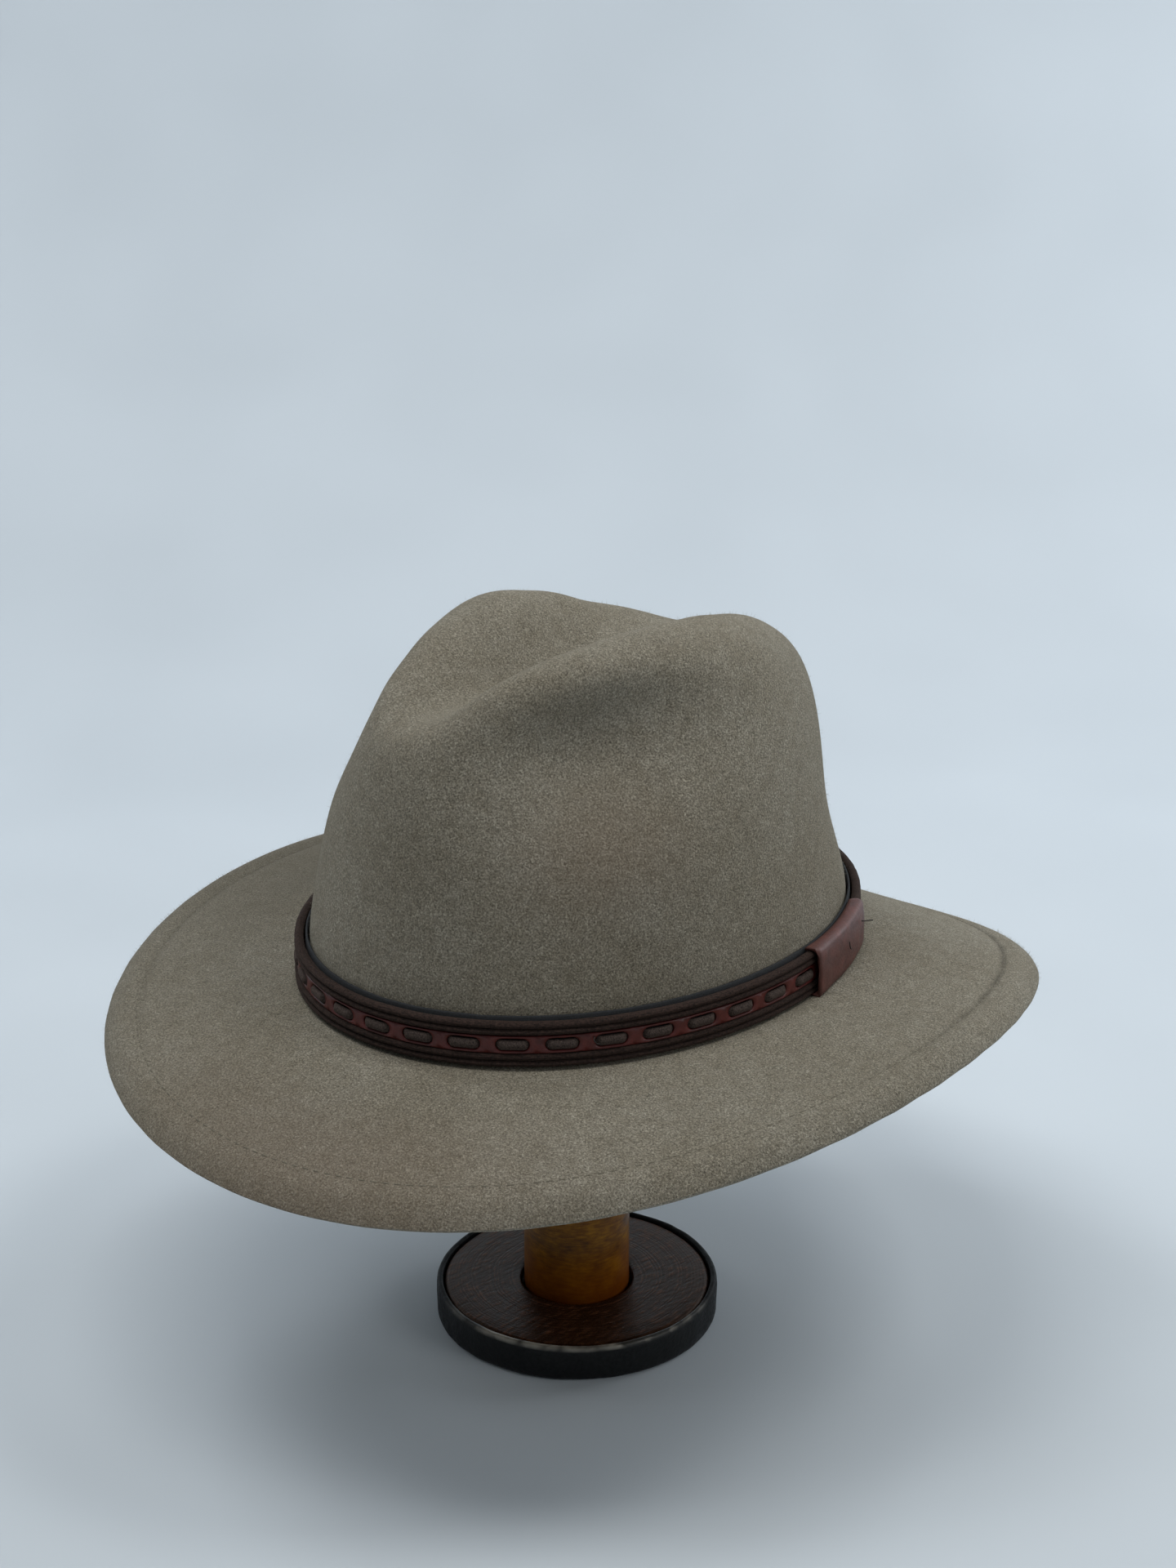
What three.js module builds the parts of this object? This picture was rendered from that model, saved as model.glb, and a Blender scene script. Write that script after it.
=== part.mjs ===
// Safari hat in heavy felt with a laced band, held up by a small display stand.
// Millimetres, +Z up, the hat's front towards -Y, the wearer's left towards +X.
import * as THREE from 'three';

// How the hat is placed on the stand
const HAT_HEIGHT = 146;        // brim break above the table
const HAT_SHIFT_X = 1;         // the hat sits a little off the post
const HAT_SHIFT_Y = 2.4;
const HAT_TILT_FRONT = 2.2;    // degrees, front lower
const HAT_TILT_SIDE = 1.0;     // degrees, wearer's left lower

// Felt of crown and brim
const FELT = 2.3;              // felt thickness
const HALF_X = 85;             // felt outside at the brim break, side to side
const HALF_Y = 101;            // felt outside at the brim break, front to back
const FOLD_WIDTH = 12;         // brim edge folded beneath and stitched
const FOLD_EXTRA = 2.2;        // what the fold adds in thickness
const AROUND = 48;             // facets around the hat

const TOP = 120.5;             // crown's height from the break, before its crease
// Crown before its dents: height, side half-width share, front and back half-depth shares.
const CROWN = [
  { z: 0, side: 1, front: 1, back: 1 },
  { z: 9, side: 0.998, front: 0.998, back: 0.998 },
  { z: 18, side: 0.992, front: 0.992, back: 0.994 },
  { z: 32, side: 0.965, front: 0.962, back: 0.978 },
  { z: 47, side: 0.93, front: 0.926, back: 0.957 },
  { z: 62, side: 0.892, front: 0.89, back: 0.937 },
  { z: 76, side: 0.852, front: 0.855, back: 0.915 },
  { z: 89, side: 0.807, front: 0.812, back: 0.887 },
  { z: 100, side: 0.752, front: 0.77, back: 0.842 },
  { z: 109, side: 0.69, front: 0.72, back: 0.767 },
  { z: 115, side: 0.6, front: 0.635, back: 0.665 },
  { z: 118.5, side: 0.48, front: 0.52, back: 0.54 },
  { z: 120, side: 0.38, front: 0.42, back: 0.43 },
  { z: TOP, side: 0.28, front: 0.31, back: 0.32 },
  { z: TOP, side: 0.19, front: 0.2, back: 0.2 },
  { z: TOP, side: 0.1, front: 0.1, back: 0.1 },
];
// Top crease along the crown, front to back: how deep and how wide (half-width).
const CREASE = [
  { y: -100, deep: 2, half: 14 },
  { y: -78, deep: 5, half: 15 },
  { y: -62, deep: 13, half: 18 },
  { y: -48, deep: 20, half: 20 },
  { y: -25, deep: 26, half: 22 },
  { y: 5, deep: 25, half: 23 },
  { y: 35, deep: 15, half: 24 },
  { y: 60, deep: 7, half: 22 },
  { y: 100, deep: 2, half: 18 },
];
// Height taken off the top along the crown, besides the crease, on the wearer's left and right.
const SLOPE = [
  { y: -100, left: 9, right: 12 },
  { y: -75, left: 5, right: 11 },
  { y: -55, left: -1, right: 7.5 },
  { y: -30, left: -2.5, right: 3 },
  { y: 0, left: -2.5, right: 0.3 },
  { y: 20, left: -1.5, right: 3.5 },
  { y: 40, left: 0.5, right: 9.5 },
  { y: 70, left: 5.5, right: 14 },
  { y: 100, left: 10, right: 14 },
];
// Finger dents in the crown's sides: direction in degrees from the front, height, depth, spread.
const DENTS = [
  { turn: 54, z: 89, deep: 19, turnSpread: 24, zSpread: 17 },
  { turn: 78, z: 97, deep: 9, turnSpread: 20, zSpread: 15 },
  { turn: -58, z: 92, deep: 17, turnSpread: 26, zSpread: 20 },
  { turn: 146, z: 42, deep: 3.8, turnSpread: 24, zSpread: 22 },
  { turn: -140, z: 66, deep: 3, turnSpread: 22, zSpread: 28 },
];

// Shape of the brim
const BRIM = { front: 67, side: 67, back: 60 };       // widths from the crown
const EDGE = { front: -20.7, side: 0, back: -34.6 };   // edge heights from the break
const BRIM_TWIST = -3.4;       // more width front right and back left
const EDGE_THIRD = 3;          // three-fold, four-fold and left-right waves of the edge
const EDGE_FOURTH = -0.3;
const EDGE_LEFT = 1.8;
const EDGE_TWIST = -4.3;
const BRIM_ROWS = [0.035, 0.1, 0.22, 0.38, 0.55, 0.7, 0.83, 0.93];
const BRIM_BOW = { front: 1.5, back: 0.95 };   // how late the brim's fall comes, as a power
const BREAK_DROP = 1.2;        // the brim starts this far below the break

// Band around the crown: distances off the felt and heights from the brim break
const BACKING = { from: 0.4, to: 1.1, low: -0.7, high: 16.9 };
const TRIM = { from: 1.5, to: 5.0, width: 4.4 };
const TRIM_LOW = -0.4;
const TRIM_HIGH = 10.3;
const STRIP = { from: 3.2, to: 4.1, low: 4.4, high: 9.9 };
const LACES = 39;              // pitches around, of which the keeper covers some
const LACE_START = 90.5;       // degrees from the front to one pill's middle
const WINDOW = { flat: 3.4, end: 5.9, high: 2.3, endHigh: 1.0 };
const CORD = { out: 3.95, back: 2.25, thick: 0.55, high: 1.7, diveHigh: 1.1, flat: 3.6, dive: 5.2 };
const KEEPER = { turn: 114, width: 45, low: -0.3, high: 15.2, from: 5.4, to: 6.7 };

// Stand
const RING = { outer: 51.3, inner: 49, high: 13 };
const DISC = { outer: 48.6, high: 12.4 };
const HOLE = { mouth: 20.5, seat: 19.5, deep: 4 };   // hole in the disc around the post, wider at its mouth
const POST = { radius: 19.2, foot: 0 };
const HEAD = { radius: 42, flat: 14, edge: 12, high: 24, gap: 0.4 };

const rad = (d) => d * Math.PI / 180;

function readTable(rows, key, at, column) {
  if (at <= rows[0][key]) return rows[0][column];
  for (let i = 1; i < rows.length; i += 1) {
    if (at <= rows[i][key]) {
      const t = (at - rows[i - 1][key]) / (rows[i][key] - rows[i - 1][key]);
      const s = t * t * (3 - 2 * t);
      return rows[i - 1][column] + (rows[i][column] - rows[i - 1][column]) * s;
    }
  }
  return rows[rows.length - 1][column];
}
function smooth(lo, hi, v) {
  const t = Math.min(1, Math.max(0, (v - lo) / (hi - lo)));
  return t * t * (3 - 2 * t);
}
// Blend of the front and back values around the oval.
const foreAft = (turn, front, back) => back + (front - back) * (0.5 + 0.5 * Math.cos(turn));

// Point on the outside of the crown for a row of the table and a direction.
function crownPoint(row, turn) {
  const depth = foreAft(turn, row.front, row.back) * HALF_Y;
  let x = HALF_X * row.side * Math.sin(turn);
  let y = -depth * Math.cos(turn);
  let z = row.z;
  const nx = Math.sin(turn) / HALF_X;
  const ny = -Math.cos(turn) / HALF_Y;
  const n = Math.hypot(nx, ny);
  for (const dent of DENTS) {
    let away = turn - rad(dent.turn);
    away = Math.atan2(Math.sin(away), Math.cos(away)) / rad(dent.turnSpread);
    const rise = (z - dent.z) / dent.zSpread;
    const inside = smooth(0.12, 0.5, Math.hypot(x / HALF_X, y / HALF_Y));
    const push = dent.deep * Math.exp(-away * away - rise * rise) * inside;
    const foot = smooth(18, 40, row.z);
    x -= push * foot * nx / n;
    y -= push * foot * ny / n;
  }
  const top = smooth(84, 116, row.z);
  const deep = readTable(CREASE, 'y', y, 'deep');
  const half = readTable(CREASE, 'y', y, 'half');
  z -= top * deep * Math.exp(-(Math.abs(x / half) ** 2.8));
  const leftShare = smooth(-22, 22, x);
  const left = readTable(SLOPE, 'y', y, 'left');
  const right = readTable(SLOPE, 'y', y, 'right');
  z -= top * (left * leftShare + right * (1 - leftShare));
  return new THREE.Vector3(x, y, z);
}

function harmonic(turn, at) {
  const mean = (at.front + at.back) / 4 + at.side / 2;
  return mean + (at.front - at.back) / 2 * Math.cos(turn)
    + ((at.front + at.back) / 4 - at.side / 2) * Math.cos(2 * turn);
}
function edgeHeight(turn) {
  return harmonic(turn, EDGE) + EDGE_THIRD * (Math.cos(3 * turn) - Math.cos(turn))
    + EDGE_FOURTH * (Math.cos(4 * turn) - 1) + EDGE_LEFT * Math.sin(turn)
    + EDGE_TWIST * Math.sin(2 * turn);
}
const brimWidth = (turn) => harmonic(turn, BRIM) + BRIM_TWIST * Math.sin(2 * turn);
// Point on the top of the brim: share 0 at the crown, 1 at the edge.
function brimPoint(share, turn) {
  const nx = Math.sin(turn) / HALF_X;
  const ny = -Math.cos(turn) / HALF_Y;
  const n = Math.hypot(nx, ny);
  const out = brimWidth(turn) * share;
  const bow = foreAft(turn, BRIM_BOW.front, BRIM_BOW.back);
  const z = edgeHeight(turn) * Math.pow(share, bow) - BREAK_DROP * (1 - share);
  const x = HALF_X * Math.sin(turn) + out * nx / n;
  const y = -HALF_Y * Math.cos(turn) + out * ny / n;
  return new THREE.Vector3(x, y, z);
}

// Closed mesh from rings of points; a ring of one point is a pole.
function fromRings(rings, closed) {
  const pos = [];
  const start = [];
  for (const ring of rings) {
    start.push(pos.length / 3);
    for (const p of ring) pos.push(p.x, p.y, p.z);
  }
  const index = [];
  const count = closed ? rings.length : rings.length - 1;
  for (let r = 0; r < count; r += 1) {
    const a = rings[r];
    const b = rings[(r + 1) % rings.length];
    const sa = start[r];
    const sb = start[(r + 1) % rings.length];
    const n = Math.max(a.length, b.length);
    for (let i = 0; i < n; i += 1) {
      const j = (i + 1) % n;
      if (a.length === 1) index.push(sa, sb + i, sb + j);
      else if (b.length === 1) index.push(sa + i, sb, sa + j);
      else index.push(sa + i, sb + i, sb + j, sa + i, sb + j, sa + j);
    }
  }
  const g = new THREE.BufferGeometry();
  g.setAttribute('position', new THREE.Float32BufferAttribute(pos, 3));
  g.setIndex(index);
  return outward(g);
}
// Turns a closed mesh right side out by the sign of its volume.
function outward(g) {
  const p = g.getAttribute('position');
  const ix = Array.from(g.getIndex().array);
  let volume = 0;
  for (let i = 0; i < ix.length; i += 3) {
    const a = new THREE.Vector3().fromBufferAttribute(p, ix[i]);
    const b = new THREE.Vector3().fromBufferAttribute(p, ix[i + 1]);
    const c = new THREE.Vector3().fromBufferAttribute(p, ix[i + 2]);
    volume += a.dot(b.cross(c));
  }
  if (volume < 0) {
    for (let i = 0; i < ix.length; i += 3) {
      const t = ix[i + 1];
      ix[i + 1] = ix[i + 2];
      ix[i + 2] = t;
    }
    g.setIndex(ix);
  }
  g.computeVertexNormals();
  return g;
}
const TURNS = Array.from({ length: AROUND }, (_, i) => 2 * Math.PI * i / AROUND);

// Normals of a grid of rings, pointing out of the hat.
function gridNormals(rings) {
  return rings.map((ring, r) => ring.map((p, i) => {
    const n = ring.length;
    const up = rings[Math.max(0, r - 1)];
    const down = rings[Math.min(rings.length - 1, r + 1)];
    const a = (up.length === 1 ? up[0] : up[i]).clone().sub(down[i]);
    const b = ring[(i + 1) % n].clone().sub(ring[(i + n - 1) % n]);
    return b.cross(a).normalize();
  }));
}

function feltBody() {
  const outer = [];
  for (const row of CROWN.slice(1).reverse()) outer.push(TURNS.map((t) => crownPoint(row, t)));
  outer.push(TURNS.map((t) => brimPoint(0, t)));
  for (const share of BRIM_ROWS) outer.push(TURNS.map((t) => brimPoint(share, t)));
  outer.push(TURNS.map((t) => brimPoint(1, t)));
  const normals = gridNormals(outer);
  const top = crownPoint({ z: CROWN[CROWN.length - 1].z, side: 0, front: 0, back: 0 }, 0);
  const last = outer.length - 1;
  const thick = FELT + FOLD_EXTRA;
  const edge = [];
  const roll = [[0.62, 0.16], [0.62, 0.84]];
  const pull = 1.1;
  outer[last] = outer[last].map((p, i) => p.clone().lerp(outer[last - 1][i], pull / 12));
  for (const [out, down] of roll) {
    edge.push(outer[last].map((p, i) => {
      const away = p.clone().sub(outer[last - 1][i]).normalize();
      const rolled = p.clone().addScaledVector(away, pull * out * 1.6);
      return rolled.addScaledVector(normals[last][i], -thick * down);
    }));
  }
  const under = [];
  under.push(outer[last].map((p, i) => p.clone().addScaledVector(normals[last][i], -thick)));
  const foldAt = TURNS.map((t) => 1 - FOLD_WIDTH / brimWidth(t));
  const brimUnder = (shareOf, depth) => TURNS.map((t, i) => {
    const s = shareOf(i);
    const p = brimPoint(s, t);
    const q = brimPoint(s + 0.01, t);
    const side = brimPoint(s, t + 0.01).sub(brimPoint(s, t - 0.01));
    const n = side.cross(q.sub(p)).normalize();
    if (n.z < 0) n.negate();
    return p.addScaledVector(n, -depth);
  });
  under.push(brimUnder((i) => foldAt[i], thick));
  under.push(brimUnder((i) => foldAt[i] - 0.012, FELT));
  for (const share of [0.64, 0.46, 0.28, 0.14]) under.push(brimUnder(() => share, FELT));
  const inner = outer.map((ring, r) => ring.map((p, i) => p.clone().addScaledVector(normals[r][i], -FELT)));
  const crownRings = CROWN.length;
  const inside = [];
  inside.push(inner[crownRings].map((p) => p.clone()));
  for (let r = crownRings - 1; r >= 0; r -= 1) inside.push(inner[r]);
  const rings = [[top], ...outer, ...edge, ...under, ...inside, [top.clone().setZ(top.z - FELT)]];
  return fromRings(rings, false);
}

// Band pieces are placed by direction, height from the break and distance off the felt.
function wallHalf(column, z) {
  let i = 1;
  while (i < CROWN.length - 1 && CROWN[i].z < z) i += 1;
  const t = (z - CROWN[i - 1].z) / (CROWN[i].z - CROWN[i - 1].z);
  return CROWN[i - 1][column] + (CROWN[i][column] - CROWN[i - 1][column]) * t;
}
function bandPoint(turn, up, off) {
  const hx = HALF_X * wallHalf('side', up);
  const hy = HALF_Y * foreAft(turn, wallHalf('front', up), wallHalf('back', up));
  const nx = Math.sin(turn) / hx;
  const ny = -Math.cos(turn) / hy;
  const n = Math.hypot(nx, ny);
  return new THREE.Vector3(hx * Math.sin(turn) + off * nx / n, -hy * Math.cos(turn) + off * ny / n, up);
}
// Ring of a closed section (up, off) carried around the crown.
function bandRing(section) {
  return fromRings(section.map(([up, off]) => TURNS.map((t) => bandPoint(t, up, off))), true);
}
function trimSection(low) {
  const w = TRIM.width;
  const mid = TRIM.from + (TRIM.to - TRIM.from) * 0.6;
  return [[low, TRIM.from], [low + w * 0.08, TRIM.to - 0.5], [low + w * 0.3, TRIM.to], [low + w * 0.5, mid],
    [low + w * 0.72, TRIM.to], [low + w, TRIM.from + 0.6]];
}
// Distance around the band turned into direction.
const STEPS = 1440;
const ARC = (() => {
  const list = [0];
  let before = bandPoint(0, 8, 3.3);
  for (let i = 1; i <= STEPS; i += 1) {
    const p = bandPoint(2 * Math.PI * i / STEPS, 8, 3.3);
    list.push(list[i - 1] + p.distanceTo(before));
    before = p;
  }
  return list;
})();
const ROUND = ARC[STEPS];
function turnAt(along) {
  const s = ((along % ROUND) + ROUND) % ROUND;
  let lo = 0;
  let hi = STEPS;
  while (hi - lo > 1) {
    const mid = (lo + hi) >> 1;
    if (ARC[mid] <= s) lo = mid;
    else hi = mid;
  }
  return 2 * Math.PI * (lo + (s - ARC[lo]) / (ARC[hi] - ARC[lo])) / STEPS;
}
const alongAt = (turn) => ARC[Math.round(turn / (2 * Math.PI) * STEPS)];
const PITCH = ROUND / LACES;
const laceMiddle = (i) => alongAt(rad(LACE_START)) + i * PITCH;
const KEEPER_ALONG = alongAt(rad(KEEPER.turn));
function underKeeper(i) {
  let away = laceMiddle(i) - KEEPER_ALONG;
  away -= ROUND * Math.round(away / ROUND);
  return Math.abs(away) < KEEPER.width / 2 - 2;
}

function leatherStrip() {
  const pos = [];
  const index = [];
  const known = new Map();
  const point = (along, up, off) => {
    const wrapped = ((along % ROUND) + ROUND) % ROUND;
    const key = `${wrapped.toFixed(3)},${up.toFixed(3)},${off}`;
    if (!known.has(key)) {
      known.set(key, pos.length / 3);
      const p = bandPoint(turnAt(along), up, off);
      pos.push(p.x, p.y, p.z);
    }
    return known.get(key);
  };
  const quad = (a, b, c, d) => index.push(a, b, c, a, c, d);
  const mid = (STRIP.low + STRIP.high) / 2;
  for (let i = 0; i < LACES; i += 1) {
    const m = laceMiddle(i);
    const cols = [m - PITCH / 2, m - WINDOW.flat, m + WINDOW.flat, m + PITCH / 2];
    for (let k = 0; k < 3; k += 1) {
      for (const up of [STRIP.low, STRIP.high]) {
        const q = [point(cols[k], up, STRIP.from), point(cols[k + 1], up, STRIP.from),
          point(cols[k + 1], up, STRIP.to), point(cols[k], up, STRIP.to)];
        if (up === STRIP.low) quad(q[0], q[1], q[2], q[3]);
        else quad(q[3], q[2], q[1], q[0]);
      }
    }
    const flip = (off, a, b, c, d) => (off === STRIP.to ? quad(a, b, c, d) : quad(d, c, b, a));
    const hole = [[-WINDOW.flat, -WINDOW.high], [WINDOW.flat, -WINDOW.high], [WINDOW.end, -WINDOW.endHigh],
      [WINDOW.end, WINDOW.endHigh], [WINDOW.flat, WINDOW.high], [-WINDOW.flat, WINDOW.high],
      [-WINDOW.end, WINDOW.endHigh], [-WINDOW.end, -WINDOW.endHigh]];
    for (const off of [STRIP.from, STRIP.to]) {
      if (underKeeper(i)) {
        for (let k = 0; k < 3; k += 1) {
          flip(off, point(cols[k], STRIP.low, off), point(cols[k + 1], STRIP.low, off),
            point(cols[k + 1], STRIP.high, off), point(cols[k], STRIP.high, off));
        }
        continue;
      }
      const h = hole.map(([u, v]) => point(m + u, mid + v, off));
      const low = cols.map((c) => point(c, STRIP.low, off));
      const high = cols.map((c) => point(c, STRIP.high, off));
      flip(off, low[1], low[2], h[1], h[0]);
      flip(off, low[2], low[3], h[2], h[1]);
      flip(off, low[3], high[3], h[3], h[2]);
      flip(off, high[3], high[2], h[4], h[3]);
      flip(off, high[2], high[1], h[5], h[4]);
      flip(off, high[1], high[0], h[6], h[5]);
      flip(off, high[0], low[0], h[7], h[6]);
      flip(off, low[0], low[1], h[0], h[7]);
    }
    if (!underKeeper(i)) {
      for (let k = 0; k < 8; k += 1) {
        const [u0, v0] = hole[k];
        const [u1, v1] = hole[(k + 1) % 8];
        quad(point(m + u0, mid + v0, STRIP.from), point(m + u0, mid + v0, STRIP.to),
          point(m + u1, mid + v1, STRIP.to), point(m + u1, mid + v1, STRIP.from));
      }
    }
  }
  const g = new THREE.BufferGeometry();
  g.setAttribute('position', new THREE.Float32BufferAttribute(pos, 3));
  g.setIndex(index);
  return outward(g);
}

function lacingCord() {
  const rings = [];
  const mid = (STRIP.low + STRIP.high) / 2;
  for (let i = 0; i < LACES; i += 1) {
    const m = laceMiddle(i);
    const hidden = underKeeper(i);
    const stops = [[-CORD.dive, CORD.back, CORD.diveHigh], [-CORD.flat, CORD.out, CORD.high],
      [CORD.flat, CORD.out, CORD.high], [CORD.dive, CORD.back, CORD.diveHigh]];
    for (const [u, off, high] of stops) {
      const o = hidden ? CORD.back : off;
      const h = hidden ? CORD.diveHigh : high;
      const turn = turnAt(m + u);
      rings.push([[h, 0], [h * 0.5, CORD.thick], [-h * 0.5, CORD.thick], [-h, 0],
        [0, -CORD.thick]].map(([up, out]) => bandPoint(turn, mid + up, o + out)));
    }
  }
  return fromRings(rings, true);
}

function keeper() {
  const rings = [];
  const bits = 7;
  const half = KEEPER.width / 2;
  for (let i = 0; i <= bits; i += 1) {
    const turn = turnAt(KEEPER_ALONG - half + KEEPER.width * i / bits);
    const l = KEEPER.low;
    const h = KEEPER.high;
    const r = 0.9;
    rings.push([[l, KEEPER.from], [l, KEEPER.to - r * 0.5], [l + r, KEEPER.to], [h - r, KEEPER.to],
      [h, KEEPER.to - r * 0.5], [h, KEEPER.from]].map(([up, off]) => bandPoint(turn, up, off)));
  }
  const middle = (ring) => ring.reduce((s, p) => s.add(p), new THREE.Vector3()).divideScalar(ring.length);
  return fromRings([[middle(rings[0])], ...rings, [middle(rings[bits])]], false);
}

function lathe(points, sides) {
  const g = new THREE.LatheGeometry(points.map(([x, y]) => new THREE.Vector2(x, y)), sides);
  g.rotateX(Math.PI / 2);
  return g;
}

function material(hex, roughness, metalness = 0) {
  return new THREE.MeshStandardMaterial({ color: hex, roughness, metalness });
}
function piece(name, geometry, look) {
  const mesh = new THREE.Mesh(geometry, look);
  mesh.name = name;
  return mesh;
}

const model = new THREE.Group();
model.name = 'safari_hat';
const hat = new THREE.Group();
hat.name = 'hat';
hat.position.set(HAT_SHIFT_X, HAT_SHIFT_Y, HAT_HEIGHT);
hat.rotation.set(rad(HAT_TILT_FRONT), rad(HAT_TILT_SIDE), 0, 'XYZ');
model.add(hat);
hat.add(piece('felt_body', feltBody(), material(0x8d8781, 0.95)));
hat.add(piece('band_backing', bandRing([[BACKING.low, BACKING.from], [BACKING.low, BACKING.to],
  [BACKING.high, BACKING.to], [BACKING.high, BACKING.from]]), material(0x4f5563, 0.9)));
hat.add(piece('trim_upper', bandRing(trimSection(TRIM_HIGH)), material(0x5a4336, 0.95)));
hat.add(piece('trim_lower', bandRing(trimSection(TRIM_LOW)), material(0x5a4336, 0.95)));
hat.add(piece('leather_strip', leatherStrip(), material(0x6b2f22, 0.6)));
hat.add(piece('lacing_cord', lacingCord(), material(0x5d4638, 0.95)));
hat.add(piece('keeper', keeper(), material(0x6e3325, 0.5)));
// Height at which the stand's rounded head meets the inside of the crown.
function headTop() {
  model.updateMatrixWorld(true);
  const felt = hat.getObjectByName('felt_body');
  const p = felt.geometry.getAttribute('position');
  const ix = felt.geometry.getIndex().array;
  let lowest = Infinity;
  const corner = [new THREE.Vector3(), new THREE.Vector3(), new THREE.Vector3()];
  for (let i = 0; i < ix.length; i += 3) {
    for (let k = 0; k < 3; k += 1) corner[k].fromBufferAttribute(p, ix[i + k]).applyMatrix4(felt.matrixWorld);
    for (let u = 0; u <= 4; u += 1) {
      for (let v = 0; v <= 4 - u; v += 1) {
        const q = corner[0].clone().multiplyScalar(u / 4).addScaledVector(corner[1], v / 4)
          .addScaledVector(corner[2], (4 - u - v) / 4);
        const r = Math.hypot(q.x, q.y);
        if (r > HEAD.radius || q.z < HAT_HEIGHT + 30) continue;
        lowest = Math.min(lowest, q.z + headFall(r));
      }
    }
  }
  return lowest - HEAD.gap;
}
// How far the head's top has fallen away at a distance from its axis.
function headFall(r) {
  const t = Math.max(0, (r - HEAD.flat) / (HEAD.radius - HEAD.flat));
  return HEAD.edge * (1 - Math.sqrt(1 - t * t));
}
model.add(piece('base_ring', lathe([[RING.inner, 0], [RING.outer - 1.2, 0], [RING.outer, 1.4],
  [RING.outer, RING.high - 0.8], [RING.outer - 0.8, RING.high], [RING.inner + 0.4, RING.high],
  [RING.inner, RING.high - 0.6], [RING.inner, 0]], 36), material(0x2c2a29, 0.55, 0.7)));
model.add(piece('base_disc', lathe([[HOLE.seat, 0], [DISC.outer, 0], [DISC.outer, DISC.high - 1.6],
  [DISC.outer - 1.4, DISC.high], [HOLE.mouth + 0.8, DISC.high], [HOLE.mouth, DISC.high - 0.8],
  [HOLE.mouth, DISC.high - HOLE.deep], [HOLE.seat, DISC.high - HOLE.deep], [HOLE.seat, 0]], 36),
material(0x4a3a30, 0.6)));
const headHeight = headTop();
const headProfile = [[0, headHeight - HEAD.high]];
headProfile.push([HEAD.radius - 1.5, headHeight - HEAD.high], [HEAD.radius, headHeight - HEAD.high + 1.5]);
for (const share of [1, 0.94, 0.8, 0.6, 0.35, 0]) {
  const r = HEAD.flat + (HEAD.radius - HEAD.flat) * share;
  headProfile.push([r, headHeight - headFall(r)]);
}
headProfile.push([0, headHeight]);
model.add(piece('stand_head', lathe(headProfile, 28), material(0x8f6a45, 0.6)));
const postTop = headHeight - HEAD.high - 0.4;
const postProfile = [[0, POST.foot], [POST.radius, POST.foot], [POST.radius, postTop], [0, postTop]];
model.add(piece('post', lathe(postProfile, 32), material(0x8a5426, 0.35)));

export default model;
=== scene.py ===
import bpy
import bmesh
import math
import random
from mathutils import Matrix, Vector, noise
from mathutils.bvhtree import BVHTree
from mathutils.kdtree import KDTree


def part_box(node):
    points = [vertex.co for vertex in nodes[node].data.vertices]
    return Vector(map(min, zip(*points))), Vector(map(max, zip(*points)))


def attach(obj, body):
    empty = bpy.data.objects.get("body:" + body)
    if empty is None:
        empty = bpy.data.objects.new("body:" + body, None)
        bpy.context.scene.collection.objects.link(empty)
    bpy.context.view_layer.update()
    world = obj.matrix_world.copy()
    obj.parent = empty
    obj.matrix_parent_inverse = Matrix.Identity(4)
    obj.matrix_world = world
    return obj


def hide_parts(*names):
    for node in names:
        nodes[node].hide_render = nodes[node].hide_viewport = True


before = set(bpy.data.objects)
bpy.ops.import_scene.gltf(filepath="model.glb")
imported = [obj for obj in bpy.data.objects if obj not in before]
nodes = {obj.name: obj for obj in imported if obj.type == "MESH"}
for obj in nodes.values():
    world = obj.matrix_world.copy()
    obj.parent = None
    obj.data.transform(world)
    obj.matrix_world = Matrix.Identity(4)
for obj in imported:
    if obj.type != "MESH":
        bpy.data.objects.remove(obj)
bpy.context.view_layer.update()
mm = 0.001


# Small helpers
def linearOf(text):  # sRGB hex to linear
    values = [int(text[k:k + 2], 16) / 255 for k in (1, 3, 5)]
    return tuple(v / 12.92 if v <= 0.04045 else ((v + 0.055) / 1.055) ** 2.4 for v in values) + (1,)


def smoothStep(lo, hi, v):
    t = min(1, max(0, (v - lo) / (hi - lo)))
    return t * t * (3 - 2 * t)


def addNode(tree, kind, settings=None, take=0, **inputs):  # gives the output named by take; at3 is input 3
    node = tree.nodes.new("ShaderNode" + kind)
    for key, value in (settings or {}).items():
        if key == "stops":  # places on a colour ramp, each with a colour or a level of grey
            elements = node.color_ramp.elements
            while len(elements) < len(value):
                elements.new(0.5)
            for element, (at, colour) in zip(elements, value):
                element.position = at
                element.color = linearOf(colour) if isinstance(colour, str) else (colour, colour, colour, 1)
        else:
            setattr(node, key, value)
    for key, value in inputs.items():
        name = key.replace("_", " ")
        numbered = name.startswith("at") and name[2:].isdigit()
        socket = node.inputs[int(name[2:]) if numbered else name]
        if isinstance(value, bpy.types.NodeSocket):
            tree.links.new(value, socket)
        else:
            socket.default_value = linearOf(value) if isinstance(value, str) else value
    return node.outputs[take] if node.outputs else node


def newMaterial(name):  # the material, its tree and the object coordinates in mm
    made = bpy.data.materials.new(name)
    made.use_nodes = True
    tree = made.node_tree
    tree.nodes.clear()
    where = addNode(tree, "TexCoord", None, "Object")
    return made, tree, addNode(tree, "VectorMath", {"operation": "SCALE"}, at0=where, Scale=1 / mm)


def surface(made, **inputs):  # gives the material its finish
    shader = addNode(made.node_tree, "BsdfPrincipled", **inputs)
    addNode(made.node_tree, "OutputMaterial", Surface=shader)
    return made


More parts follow.
